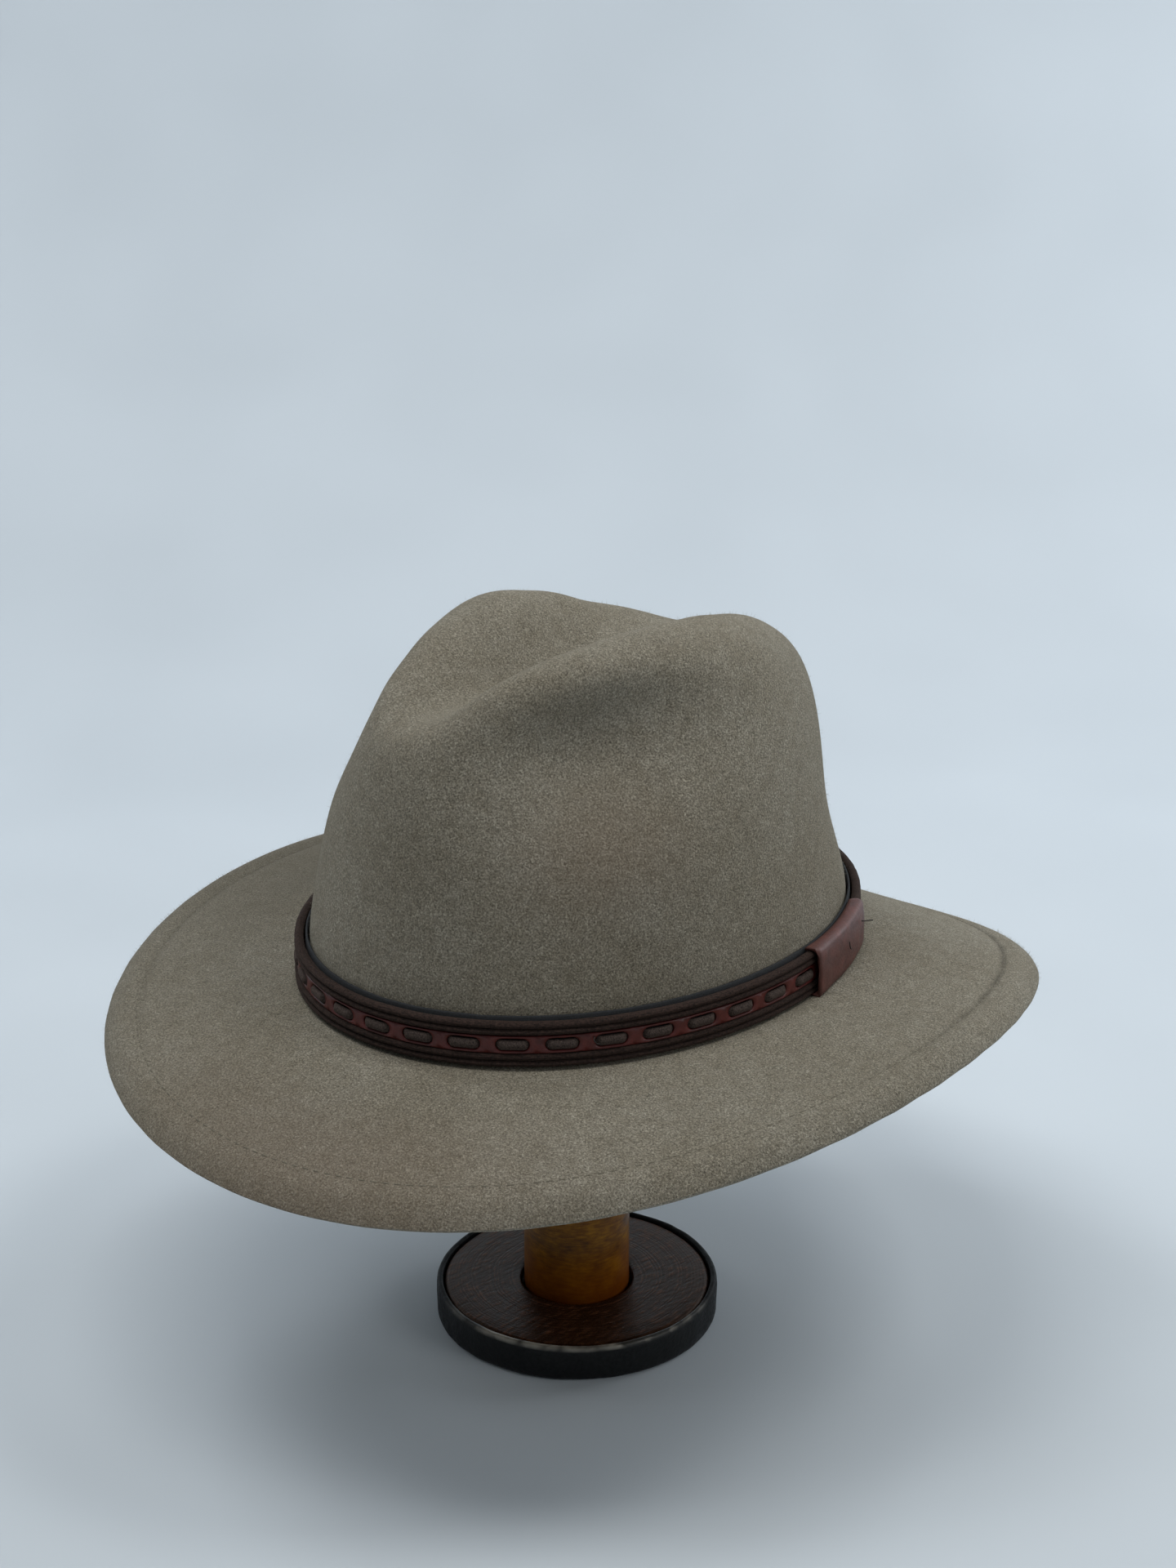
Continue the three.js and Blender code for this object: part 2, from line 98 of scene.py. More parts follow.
def finish(obj, material, slot, *replaced):
    obj.data.materials.clear()
    obj.data.materials.append(material)
    for face in obj.data.polygons:
        face.use_smooth = True
    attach(obj, "root")
    if replaced:
        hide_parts(*replaced)
    return obj


def linked(name, data):
    obj = bpy.data.objects.new(name, data)
    bpy.context.scene.collection.objects.link(obj)
    return obj


def closed(name, mesh, work):  # merges a bmesh's doubles and turns its faces out
    bmesh.ops.remove_doubles(work, verts=work.verts, dist=1e-6)
    bmesh.ops.recalc_face_normals(work, faces=work.faces)
    work.to_mesh(mesh)
    work.free()
    return linked(name, mesh)


def meshObject(name, points, faces, runs=None):  # points in world metres; runs: (u, v) in mm for each point
    mesh = bpy.data.meshes.new(name)
    mesh.from_pydata(points, [], faces)
    if runs:
        layer = mesh.uv_layers.new(name="run")
        for loop in mesh.loops:
            layer.data[loop.index].uv = runs[loop.vertex_index]
    work = bmesh.new()
    work.from_mesh(mesh)
    return closed(name, mesh, work)


def addTube(points, faces, rings):  # six-sided, ends closed; a ring is (centre, side, up, radius in mm)
    first = len(points)
    for centre, side, up, radius in rings:
        for k in range(6):
            around = k * math.pi / 3
            points.append(centre + (side * math.cos(around) + up * math.sin(around)) * radius * mm)
    for q in range(first, len(points) - 6, 6):
        for k in range(6):
            faces.append((q + k, q + (k + 1) % 6, q + 6 + (k + 1) % 6, q + 6 + k))
    faces.append(tuple(range(first, first + 6)))
    faces.append(tuple(range(len(points) - 6, len(points))))


# The hat's place on the stand, and the band's own coordinates: along it, up the crown, off the felt
hat = {"at": (1, 2.4, 146), "tiltFront": 2.2, "tiltSide": 1.0, "halfX": 85, "halfY": 101,
       "rows": [(0, 1, 1, 1), (9, 0.998, 0.998, 0.998), (18, 0.992, 0.992, 0.994)]}  # up, side, front, back
band = {"laces": 39, "start": 90.5, "middle": 7.15, "backing": (0.4, 1.1, -0.7, 16.9)}
tiltFront = Matrix.Rotation(math.radians(hat["tiltFront"]), 4, "X")
tiltSide = Matrix.Rotation(math.radians(hat["tiltSide"]), 4, "Y")
hatPose = Matrix.Translation(Vector(hat["at"]) * mm) @ tiltFront @ tiltSide


def wallShare(column, up):
    rows = hat["rows"]
    a, b = (rows[0], rows[1]) if up <= rows[1][0] else (rows[1], rows[2])
    return a[column] + (b[column] - a[column]) * (up - a[0]) / (b[0] - a[0])


def bandLocal(turn, up, off):
    front, back = wallShare(2, up), wallShare(3, up)
    hx = hat["halfX"] * wallShare(1, up)
    hy = hat["halfY"] * (back + (front - back) * (0.5 + 0.5 * math.cos(turn)))
    nx, ny = math.sin(turn) / hx, -math.cos(turn) / hy
    n = math.hypot(nx, ny)
    return Vector((hx * math.sin(turn) + off * nx / n, -hy * math.cos(turn) + off * ny / n, up))


arcSteps = 1440
arc = [0.0]
for step in range(1, arcSteps + 1):
    here = bandLocal(2 * math.pi * step / arcSteps, 8, 3.3)
    before = bandLocal(2 * math.pi * (step - 1) / arcSteps, 8, 3.3)
    arc.append(arc[-1] + (here - before).length)
roundBand = arc[-1]
pitch = roundBand / band["laces"]


def turnAt(along):
    s = along % roundBand
    lo, hi = 0, arcSteps
    while hi - lo > 1:
        mid = (lo + hi) // 2
        lo, hi = (mid, hi) if arc[mid] <= s else (lo, mid)
    return 2 * math.pi * (lo + (s - arc[lo]) / (arc[hi] - arc[lo])) / arcSteps


def alongAt(degrees):
    return arc[round(degrees / 360 * arcSteps) % arcSteps]


def bandPoint(along, up, off):
    return hatPose @ (bandLocal(turnAt(along), up, off) * mm)


def sweep(name, alongs, section, closed=True):  # section(along) gives (up, off) points of a closed outline
    points, runs, faces = [], [], []
    for s in alongs:
        around = 0.0
        outline = section(s)
        for k, (up, off) in enumerate(outline):
            points.append(bandPoint(s, up, off))
            if k:
                around += math.hypot(up - outline[k - 1][0], off - outline[k - 1][1])
            runs.append((s, around))
    n, m = len(alongs), len(points) // len(alongs)
    for i in range(n if closed else n - 1):
        for k in range(m):
            a, b = i * m, ((i + 1) % n) * m
            faces.append((a + k, b + k, b + (k + 1) % m, a + (k + 1) % m))
    if not closed:
        faces.append(tuple(range(m)))
        faces.append(tuple(range((n - 1) * m, n * m)))
    return meshObject(name, points, faces, runs)


def evenly(count):
    return [roundBand * k / count for k in range(count)]


def oval(up, off, halfHigh, halfDeep, count=10):
    turns = [2 * math.pi * k / count for k in range(count)]
    return [(up + halfHigh * math.cos(turn), off + halfDeep * math.sin(turn)) for turn in turns]


# Materials; a noise's scale is 1 over the size of its features in mm
over = {"data_type": "RGBA"}
darken = {"data_type": "RGBA", "blend_type": "MULTIPLY"}


def feltMaterial():  # wool felt: short matted fibres in several tones, soft at the edges
    made, tree, where = newMaterial("wool_felt")
    speck = addNode(tree, "TexNoise", Vector=where, Scale=1 / 0.62, Detail=3.0, Roughness=0.75)
    fibre = addNode(tree, "TexNoise", Vector=where, Scale=0.55, Detail=3.0, Roughness=0.6, Distortion=2.2)
    clump = addNode(tree, "TexNoise", Vector=where, Scale=1 / 5)
    patch = addNode(tree, "TexNoise", Vector=where, Scale=1 / 42, Detail=1.0)
    tones = [(0.3, "#45413a"), (0.5, "#847e70"), (0.7, "#c6c0b0")]
    colour = addNode(tree, "ValToRGB", {"stops": tones}, Fac=speck)
    lines = [(0.46, 0.0), (0.5, 0.5), (0.54, 0.0)]
    thread = addNode(tree, "ValToRGB", {"stops": lines}, Fac=fibre)  # thin winding lines of single fibres
    colour = addNode(tree, "Mix", over, 2, at0=thread, at6=colour, at7="#b8b1a1")
    for cloud, shade in ((clump, "#d6d1c8"), (patch, "#ddd7cc")):
        shading = addNode(tree, "ValToRGB", {"stops": [(0.3, shade), (0.7, "#ffffff")]}, Fac=cloud)
        colour = addNode(tree, "Mix", darken, 2, at0=0.5, at6=colour, at7=shading)
    # the first mask is a warm stain; the second is painted shade on the brim at the wearer's right, standing
    # in for the crown's shadow; the third is painted shade, a thin dark line in the brim's stitch groove
    for name, tone in (("tint", "#76614f"), ("worn", "#49453b"), ("groove", "#3f3a31")):
        amount = addNode(tree, "Attribute", {"attribute_name": name}, "Fac")
        colour = addNode(tree, "Mix", over, 2, at0=amount, at6=colour, at7=tone)
    relief = addNode(tree, "Bump", Height=clump, Distance=0.5 * mm, Strength=0.2)
    relief = addNode(tree, "Bump", Height=speck, Distance=0.7 * mm, Strength=1.0, Normal=relief)
    relief = addNode(tree, "Bump", Height=thread, Distance=0.25 * mm, Strength=0.7, Normal=relief)
    return surface(made, Base_Color=colour, Roughness=0.95, Specular_IOR_Level=0.15, Sheen_Weight=0.35,
                   Sheen_Roughness=0.55, Sheen_Tint="#c9c4b4", Normal=relief)


def fibreMaterial():  # loose fibres of the felt, a little lighter than it
    made, tree, where = newMaterial("felt_fibre")
    cloud = addNode(tree, "TexNoise", Vector=where, Scale=1 / 3)
    colour = addNode(tree, "ValToRGB", {"stops": [(0.3, "#6d6657"), (0.7, "#b3ac9b")]}, Fac=cloud)
    return surface(made, Base_Color=colour, Roughness=0.9, Sheen_Weight=0.3)


def suedeMaterial(name, dark, light, ridge):  # napped suede cord: fuzzy, with a twist along it
    made, tree, where = newMaterial(name)
    run = addNode(tree, "UVMap", {"uv_map": "run"})
    twist = addNode(tree, "VectorMath", {"operation": "MULTIPLY"}, at0=run, at1=(ridge, 1.4, 1.0))
    yarn = addNode(tree, "TexNoise", Vector=twist, Scale=1.3, Detail=3.0, Roughness=0.6)
    nap = addNode(tree, "TexNoise", Vector=where, Scale=1 / 0.5, Roughness=0.6)
    both = addNode(tree, "Mix", at0=0.45, at2=yarn, at3=nap)
    colour = addNode(tree, "ValToRGB", {"stops": [(0.36, dark), (0.64, light)]}, Fac=both)
    relief = addNode(tree, "Bump", Height=yarn, Distance=0.35 * mm, Strength=0.8)
    relief = addNode(tree, "Bump", Height=nap, Distance=0.2 * mm, Strength=0.6, Normal=relief)
    return surface(made, Base_Color=colour, Roughness=0.92, Specular_IOR_Level=0.2, Sheen_Weight=0.12,
                   Sheen_Tint="#a58a78", Normal=relief)


def leatherMaterial(name, dark, light, rough):  # smooth dyed leather: fine pores, creases, worn tone
    made, tree, where = newMaterial(name)
    pore = addNode(tree, "TexVoronoi", {"feature": "DISTANCE_TO_EDGE"}, "Distance", Vector=where, Scale=1.5)
    tone = addNode(tree, "TexNoise", Vector=where, Scale=1 / 4.5, Detail=3.0, Roughness=0.6)
    fine = addNode(tree, "TexNoise", Vector=where, Scale=1 / 0.8, Roughness=0.6)
    colour = addNode(tree, "ValToRGB", {"stops": [(0.32, dark), (0.68, light)]}, Fac=tone)
    pits = addNode(tree, "ValToRGB", {"stops": [(0.0, "#8a7a74"), (0.1, "#ffffff")]}, Fac=pore)
    colour = addNode(tree, "Mix", darken, 2, at0=0.4, at6=colour, at7=pits)
    polish = addNode(tree, "ValToRGB", {"stops": [(0.3, rough - 0.08), (0.7, rough + 0.1)]}, Fac=fine)
    relief = addNode(tree, "Bump", Height=tone, Distance=0.4 * mm, Strength=0.3)
    relief = addNode(tree, "Bump", Height=pore, Distance=0.12 * mm, Strength=0.35, Normal=relief)
    relief = addNode(tree, "Bump", Height=fine, Distance=0.08 * mm, Strength=0.4, Normal=relief)
    return surface(made, Base_Color=colour, Roughness=polish, Normal=relief)


def clothMaterial():  # blue-grey backing strip: a tight fine cloth
    made, tree, where = newMaterial("backing_cloth")
    weave = addNode(tree, "TexNoise", Vector=where, Scale=1 / 0.5, Roughness=0.7)
    colour = addNode(tree, "ValToRGB", {"stops": [(0.35, "#141517"), (0.65, "#25282b")]}, Fac=weave)
    relief = addNode(tree, "Bump", Height=weave, Distance=0.2 * mm, Strength=0.6)
    return surface(made, Base_Color=colour, Roughness=0.9, Normal=relief)


def threadMaterial(name, size, dark, light):  # spun thread: small changes of tone along it, no shine
    made, tree, where = newMaterial(name)
    spun = addNode(tree, "TexNoise", Vector=where, Scale=1 / size)
    colour = addNode(tree, "ValToRGB", {"stops": [(0.3, dark), (0.7, light)]}, Fac=spun)
    return surface(made, Base_Color=colour, Roughness=0.8)


def ironMaterial():  # blackened iron, hand worked, with its rim worn bright; the bright wear is kept to the side facing the camera, a painted glint
    made, tree, where = newMaterial("blackened_iron")
    forge = addNode(tree, "TexNoise", Vector=where, Scale=1 / 6, Detail=3.0, Roughness=0.6)
    fine = addNode(tree, "TexNoise", Vector=where, Scale=1 / 1.2, Detail=3.0, Roughness=0.6)
    patchy = addNode(tree, "TexNoise", Vector=where, Scale=1 / 9)
    up = addNode(tree, "SeparateXYZ", None, "Z", Vector=where)
    rim = addNode(tree, "MapRange", Value=up, at1=11.2, at2=12.7)
    # the direction towards the camera
    front = (0.72, -0.69, 0.0)
    toFront = addNode(tree, "VectorMath", {"operation": "DOT_PRODUCT"}, "Value", at0=where, at1=front)
    cameraSide = addNode(tree, "MapRange", Value=toFront, at1=18.0, at2=46.0)  # the side facing the camera, where the worn rim gets its painted glint
    rubbed = addNode(tree, "ValToRGB", {"stops": [(0.42, 0.1), (0.6, 0.9)]}, Fac=patchy)
    worn = addNode(tree, "Math", {"operation": "MULTIPLY"}, at0=rim, at1=rubbed)
    worn = addNode(tree, "Math", {"operation": "MULTIPLY"}, at0=worn, at1=cameraSide)
    colour = addNode(tree, "ValToRGB", {"stops": [(0.3, "#0c0c0d"), (0.7, "#1e1f1f")]}, Fac=fine)
    # bright steel on the rim: real wear in rubbed patches, with a painted glint because it is shown only on
    # the camera side
    colour = addNode(tree, "Mix", over, 2, at0=worn, at6=colour, at7="#b9b2a4")
    bare = addNode(tree, "Math", {"operation": "MULTIPLY"}, at0=cameraSide, at1=0.5)
    shine = addNode(tree, "ValToRGB", {"stops": [(0.0, 0.08), (1.0, 0.5)]}, Fac=cameraSide)
    polish = addNode(tree, "ValToRGB", {"stops": [(0.3, 0.32), (0.7, 0.55)]}, Fac=fine)
    relief = addNode(tree, "Bump", Height=forge, Distance=0.8 * mm, Strength=0.5)
    relief = addNode(tree, "Bump", Height=fine, Distance=0.15 * mm, Strength=0.5, Normal=relief)
    return surface(made, Base_Color=colour, Metallic=bare, Roughness=polish, Specular_IOR_Level=shine,
                   Normal=relief)


def discMaterial():  # dark stained wood, turned, with concentric tool marks
    made, tree, where = newMaterial("turned_dark_wood")
    flat = addNode(tree, "VectorMath", {"operation": "MULTIPLY"}, at0=where, at1=(1.0, 1.0, 0.0))
    radius = addNode(tree, "VectorMath", {"operation": "LENGTH"}, "Value", at0=flat)
    sway = addNode(tree, "TexNoise", Vector=where, Scale=1 / 14)
    warped = addNode(tree, "Math", {"operation": "MULTIPLY_ADD"}, at0=sway, at1=2.5, at2=radius)
    rings = addNode(tree, "CombineXYZ", X=warped)
    marks = addNode(tree, "TexNoise", Vector=rings, Scale=0.9, Detail=4.0, Roughness=0.65)
    across = addNode(tree, "VectorMath", {"operation": "MULTIPLY"}, at0=where, at1=(1.0, 0.3, 1.0))
    pores = addNode(tree, "TexNoise", Vector=across, Scale=1 / 1.6, Detail=3.0, Roughness=0.6)
    both = addNode(tree, "Mix", at0=0.45, at2=marks, at3=pores)
    stains = [(0.36, "#120803"), (0.52, "#301b0e"), (0.66, "#68432e")]
    colour = addNode(tree, "ValToRGB", {"stops": stains}, Fac=both)
    polish = addNode(tree, "ValToRGB", {"stops": [(0.3, 0.3), (0.7, 0.44)]}, Fac=pores)
    relief = addNode(tree, "Bump", Height=marks, Distance=0.5 * mm, Strength=0.6)
    relief = addNode(tree, "Bump", Height=pores, Distance=0.4 * mm, Strength=0.6, Normal=relief)
    return surface(made, Base_Color=colour, Roughness=polish, Specular_IOR_Level=0.3, Specular_Tint="#b98a5e",
                   Normal=relief)


def postMaterial():  # amber varnished wood with an upright grain and small knots
    made, tree, where = newMaterial("amber_varnished_wood")
    upright = addNode(tree, "VectorMath", {"operation": "MULTIPLY"}, at0=where, at1=(0.3, 0.3, 1.6))
    streak = addNode(tree, "TexNoise", Vector=upright, Scale=1 / 1.4, Detail=4.0, Roughness=0.65)
    cloud = addNode(tree, "TexNoise", Vector=where, Scale=1 / 9, Detail=3.0, Roughness=0.6)
    knot = addNode(tree, "TexVoronoi", None, "Distance", Vector=where, Scale=0.055)
    both = addNode(tree, "Mix", at0=0.5, at2=streak, at3=cloud)
    ambers = [(0.36, "#472a04"), (0.5, "#6c4304"), (0.64, "#8d600b")]
    colour = addNode(tree, "ValToRGB", {"stops": ambers}, Fac=both)
    up = addNode(tree, "SeparateXYZ", None, "Z", Vector=where)
    foot = addNode(tree, "MapRange", Value=up, at1=34.0, at2=12.0, at3=0.0, at4=0.7)
    colour = addNode(tree, "Mix", over, 2, at0=foot, at6=colour, at7="#7d3a06")  # varnish gathers at the foot
    spots = addNode(tree, "ValToRGB", {"stops": [(0.05, 0.85), (0.16, 0.0)]}, Fac=knot)
    colour = addNode(tree, "Mix", over, 2, at0=spots, at6=colour, at7="#2c1506")
    relief = addNode(tree, "Bump", Height=both, Distance=0.3 * mm, Strength=0.35)
    return surface(made, Base_Color=colour, Roughness=0.42, Specular_IOR_Level=0.2, Coat_Weight=0.25,
                   Coat_Roughness=0.14, Normal=relief)


def headMaterial():  # plain unvarnished wood, its grain lengthwise
    made, tree, where = newMaterial("plain_wood")
    along = addNode(tree, "VectorMath", {"operation": "MULTIPLY"}, at0=where, at1=(1.0, 0.15, 1.0))
    streak = addNode(tree, "TexNoise", Vector=along, Scale=1 / 3, Detail=4.0, Roughness=0.6)
    colour = addNode(tree, "ValToRGB", {"stops": [(0.35, "#7a5936"), (0.65, "#a98658")]}, Fac=streak)
    relief = addNode(tree, "Bump", Height=streak, Distance=0.2 * mm, Strength=0.4)
    return surface(made, Base_Color=colour, Roughness=0.6, Normal=relief)


def floorMaterial():  # pale blue-grey seamless paper, hardly mottled
    made, tree, where = newMaterial("backdrop_paper")
    cloud = addNode(tree, "TexNoise", Vector=where, Scale=1 / 160, Detail=1.0)
    colour = addNode(tree, "ValToRGB", {"stops": [(0.3, "#cdd5db"), (0.7, "#d2dae0")]}, Fac=cloud)
    return surface(made, Base_Color=colour, Roughness=0.8, Specular_IOR_Level=0.2)


# Camera
camera = {"at": (549.93, -531.06, 458.40), "turn": 45.69, "down": 18.51, "lens": 54.11}


def makeCamera():
    turn, down = math.radians(camera["turn"]), math.radians(camera["down"])
    right = Vector((math.cos(turn), math.sin(turn), 0))
    level = Vector((-math.sin(turn), math.cos(turn), 0))
    ahead = level * math.cos(down) - Vector((0, 0, 1)) * math.sin(down)
    up = right.cross(ahead)
    cam = linked("camera", bpy.data.cameras.new("camera"))
    cam.data.lens = camera["lens"]
    cam.data.sensor_width = 36
    axes = Matrix((right, up, -ahead)).transposed().to_4x4()
    cam.matrix_world = Matrix.Translation(Vector(camera["at"]) * mm) @ axes
    bpy.context.scene.camera = cam
    return right, level


right, level = makeCamera()
print("camera placed")


# Felt body
brim = {"front": 67, "side": 67, "back": 60, "twist": -3.4}  # widths; the twist adds to two opposite corners
felt = {"levels": 2, "fibres": 34000, "fibreLong": 1.5, "fibreHalfWide": 0.022,
        "stitchInside": 12, "stitchPitch": 3.4, "stitchHalf": 1.15,
        "roll": 8, "curl": 4.2, "sag": 2.7, "valley": 0.9, "valleyHalf": 2.2}


def smoothCopy(node, levels):  # the CAD node's mesh, merged, back to quads, subdivided
    mesh = nodes[node].data.copy()
    work = bmesh.new()
    work.from_mesh(mesh)
    bmesh.ops.remove_doubles(work, verts=work.verts, dist=1e-6)
    bmesh.ops.join_triangles(work, faces=work.faces, cmp_seam=False, cmp_sharp=False, cmp_uvs=False,
                             cmp_vcols=False, cmp_materials=False, angle_face_threshold=3.1,
                             angle_shape_threshold=3.1)
    work.to_mesh(mesh)
    work.free()
    rough = linked("rough", mesh)
    rough.modifiers.new("smooth", "SUBSURF").levels = levels
    bpy.context.view_layer.update()
    made = bpy.data.meshes.new_from_object(rough.evaluated_get(bpy.context.evaluated_depsgraph_get()))
    bpy.data.objects.remove(rough)
    return made


def brimWidth(turn):
    front, side, back = brim["front"], brim["side"], brim["back"]
    return ((front + back) / 4 + side / 2 + (front - back) / 2 * math.cos(turn)
            + ((front + back) / 4 - side / 2) * math.cos(2 * turn) + brim["twist"] * math.sin(2 * turn))


def brimPlan(turn, inside):  # hat-frame x, y of a point this far inside the brim's edge
    nx, ny = math.sin(turn) / hat["halfX"], -math.cos(turn) / hat["halfY"]
    n = math.hypot(nx, ny)
    out = brimWidth(turn) - inside
    x = hat["halfX"] * math.sin(turn) + out * nx / n
    return Vector((x, -hat["halfY"] * math.cos(turn) + out * ny / n, 0))


def brimLine(inside):  # finds how far a point lies from a line round the brim
    line = KDTree(720)
    for k in range(720):
        line.insert(brimPlan(2 * math.pi * k / 720, inside), k)
    line.balance()
    return line


def stitchDepth(p):  # the brim's thread sinks in least at the front left
    turn = math.degrees(math.atan2(p.x, -p.y))
    return 1 - math.exp(-((turn - 35) / 70) ** 8)


def rollEdge(mesh, inverse):  # the hem's outer few mm curl down, and its underside sags a little
    edgeLine = brimLine(0)
    tilt = hatPose.to_3x3()
    upward = [(tilt.transposed() @ vertex.normal).z for vertex in mesh.vertices]
    for vertex, facing in zip(mesh.vertices, upward):
        p = inverse @ vertex.co / mm
        if math.hypot(p.x / hat["halfX"], p.y / hat["halfY"]) < 1.4:
            continue
        inside = edgeLine.find(Vector((p.x, p.y, 0)))[2]
        near = max(0, 1 - inside / felt["roll"]) ** 2
        above = smoothStep(-0.4, 0.4, facing)
        drop = near * (felt["sag"] + (felt["curl"] - felt["sag"]) * above)
        valley = math.exp(-((inside - felt["stitchInside"]) / felt["valleyHalf"]) ** 2) * stitchDepth(p)
        drop += felt["valley"] * valley * above
        vertex.co -= tilt @ Vector((0, 0, drop)) * mm


def makeFelt():
    mesh = smoothCopy("felt_body", felt["levels"])
    obj = linked("felt_hat_body", mesh)
    inverse = hatPose.inverted()
    rollEdge(mesh, inverse)
    stitchLine = brimLine(felt["stitchInside"])
    tint = mesh.attributes.new("tint", "FLOAT", "POINT")
    groove = mesh.attributes.new("groove", "FLOAT", "POINT")
    worn = mesh.attributes.new("worn", "FLOAT", "POINT")
    for k, vertex in enumerate(mesh.vertices):
        p = inverse @ vertex.co / mm
        turn = math.degrees(math.atan2(p.x, -p.y))
        outside = math.hypot(p.x / hat["halfX"], p.y / hat["halfY"])
        front = math.exp(-((turn - 12) / 26) ** 2) * smoothStep(1.15, 1.5, outside)
        dent = math.exp(-((turn - 52) / 20) ** 2 - ((p.z - 62) / 18) ** 2)
        tint.data[k].value = min(0.6, 0.34 * front + 0.28 * dent)
        # painted shade: the brim at the wearer's right is darkened where the crown stands between it and the
        # light from the right
        worn.data[k].value = 0.65 * math.exp(-((turn + 85) / 40) ** 2) * smoothStep(1.05, 1.4, outside)
        # painted shade in the stitch groove: a thin dark line along the stitches, fading out where the groove
        # is shallow
        away = stitchLine.find(Vector((p.x, p.y, 0)))[2]
        groove.data[k].value = 0.85 * stitchDepth(p) * math.exp(-(away / 0.8) ** 2)
    finish(obj, feltMaterial(), "felt", "felt_body")
    return obj


def makeStitches(body):
    tree = BVHTree.FromObject(body, bpy.context.evaluated_depsgraph_get())
    path = []
    for k in range(1440):
        start = hatPose @ (brimPlan(2 * math.pi * k / 1440, felt["stitchInside"]) * mm) + Vector((0, 0, 0.05))
        hit = tree.ray_cast(start, Vector((0, 0, -1)), 0.2)
        path.append((hit[0], hit[1]))
    points, faces = [], []
    gone, last = 0.0, 0.0
    for k in range(1440):
        a, normal = path[k]
        b = path[(k + 1) % 1440][0]
        gone += (b - a).length / mm
        if gone - last < felt["stitchPitch"]:
            continue
        last = gone
        ahead = (b - a).normalized()
        side = normal.cross(ahead)
        rings = []
        for share, radius in ((-1, 0.1), (-0.6, 0.28), (0.6, 0.28), (1, 0.1)):
            centre = a + (ahead * share * felt["stitchHalf"] - normal * 0.05) * mm  # sunk into the felt
            rings.append((centre, side, normal, radius))
        addTube(points, faces, rings)
    thread = threadMaterial("brim_thread", 0.5, "#5d5749", "#7a7465")  # close to the felt in tone
    return finish(meshObject("brim_stitches", points, faces), thread, "felt")


def makeFibres(body):  # short loose fibres that soften the outline
    rng = random.Random(5)
    mesh = body.data
    inverse = hatPose.inverted()
    faces = []
    for face in mesh.polygons:
        p = inverse @ face.center / mm
        local = hatPose.to_3x3().transposed() @ face.normal
        outside = math.hypot(p.x / hat["halfX"], p.y / hat["halfY"])
        outward = local.z > 0.05 or local.dot(Vector((p.x, p.y, 0))) > 0
        outer = local.z > -0.3 if outside > 1.05 else outward
        edge = outside > 1.6
        if outer:
            faces.append((face.index, face.area * (4 if edge else 1)))
    picked = rng.choices([f[0] for f in faces], [f[1] for f in faces], k=felt["fibres"])
    points, made = [], []
    for index in picked:
        face = mesh.polygons[index]
        corners = [mesh.vertices[v].co for v in face.vertices]
        u, v = rng.random(), rng.random()
        at = corners[0].lerp(corners[1], u).lerp(corners[-1].lerp(corners[-2], u), v)
        long = felt["fibreLong"] * (0.4 + rng.random()) * mm
        lean = Vector((rng.uniform(-1, 1), rng.uniform(-1, 1), rng.uniform(-1, 1)))
        way = (face.normal * rng.uniform(0.35, 1.0) + lean * 0.8).normalized()
        bend = (way + Vector((rng.uniform(-1, 1), rng.uniform(-1, 1), rng.uniform(-1, 1))) * 0.6).normalized()
        side = way.cross(face.normal)
        side = (side.normalized() if side.length > 1e-4 else Vector((1, 0, 0))) * felt["fibreHalfWide"] * mm
        first = len(points)
        at = at - face.normal * 0.05 * mm
        knee = at + way * long * 0.5
        points += [at - side, at + side, knee + side * 0.8, knee - side * 0.8, knee + bend * long * 0.5]
        made += [(first, first + 1, first + 2, first + 3), (first + 3, first + 2, first + 4)]
    mesh = bpy.data.meshes.new("felt_fibres")
    mesh.from_pydata(points, [], made)
    return finish(linked("felt_fibres", mesh), fibreMaterial(), "felt")


feltBody = makeFelt()
makeStitches(feltBody)
makeFibres(feltBody)
print("felt done")


# Band
trim = {"lower": (0.75, 2.95), "upper": (11.5, 13.65), "off": 3.3, "halfHigh": 1.14, "halfDeep": 1.6}
strip = {"high": 5.9, "from": 3.1, "to": 4.0, "windowLong": 5.35, "windowHigh": 2.05}
lace = {"out": 3.85, "back": 2.3, "halfHigh": 1.65, "halfDeep": 1.15}
keeper = {"turn": 114, "wide": 45, "low": -0.7, "high": 15.9, "off": 6.5, "thick": 1.0, "flare": 0.9}


def makeBacking():
    near, far, low, high = band["backing"]

    def section(s):
        top = high - 1.5 + 0.2 * noise.noise(Vector((s * 0.11, 3, 0)))
        return [(low, near), (low, far), (4, far), (9, far), (13, far), (top - 0.3, far), (top, far - 0.3),
                (top, near)]
    finish(sweep("band_backing_cloth", evenly(360), section), clothMaterial(), "band_cloth", "band_backing")


def makeTrim(name, middles, replaced, material):
    parts = []
    for which, middle in enumerate(middles):
        def section(s, middle=middle, which=which):
            shift = 0.12 * noise.noise(Vector((s * 0.09, which * 7.1, middle)))
            grow = 1 + 0.07 * noise.noise(Vector((s * 0.35, which * 3.3, middle)))
            off = trim["off"] + shift * 0.6
            return oval(middle + shift, off, trim["halfHigh"] * grow, trim["halfDeep"] * grow)
        parts.append(sweep(name + "_" + "ab"[which], evenly(720), section))
    whole = bmesh.new()
    for part in parts:
        whole.from_mesh(part.data)
    keep = parts[0]
    whole.to_mesh(keep.data)
    whole.free()
    bpy.data.objects.remove(parts[1])
    keep.name = name
    finish(keep, material, "suede_cord", replaced)


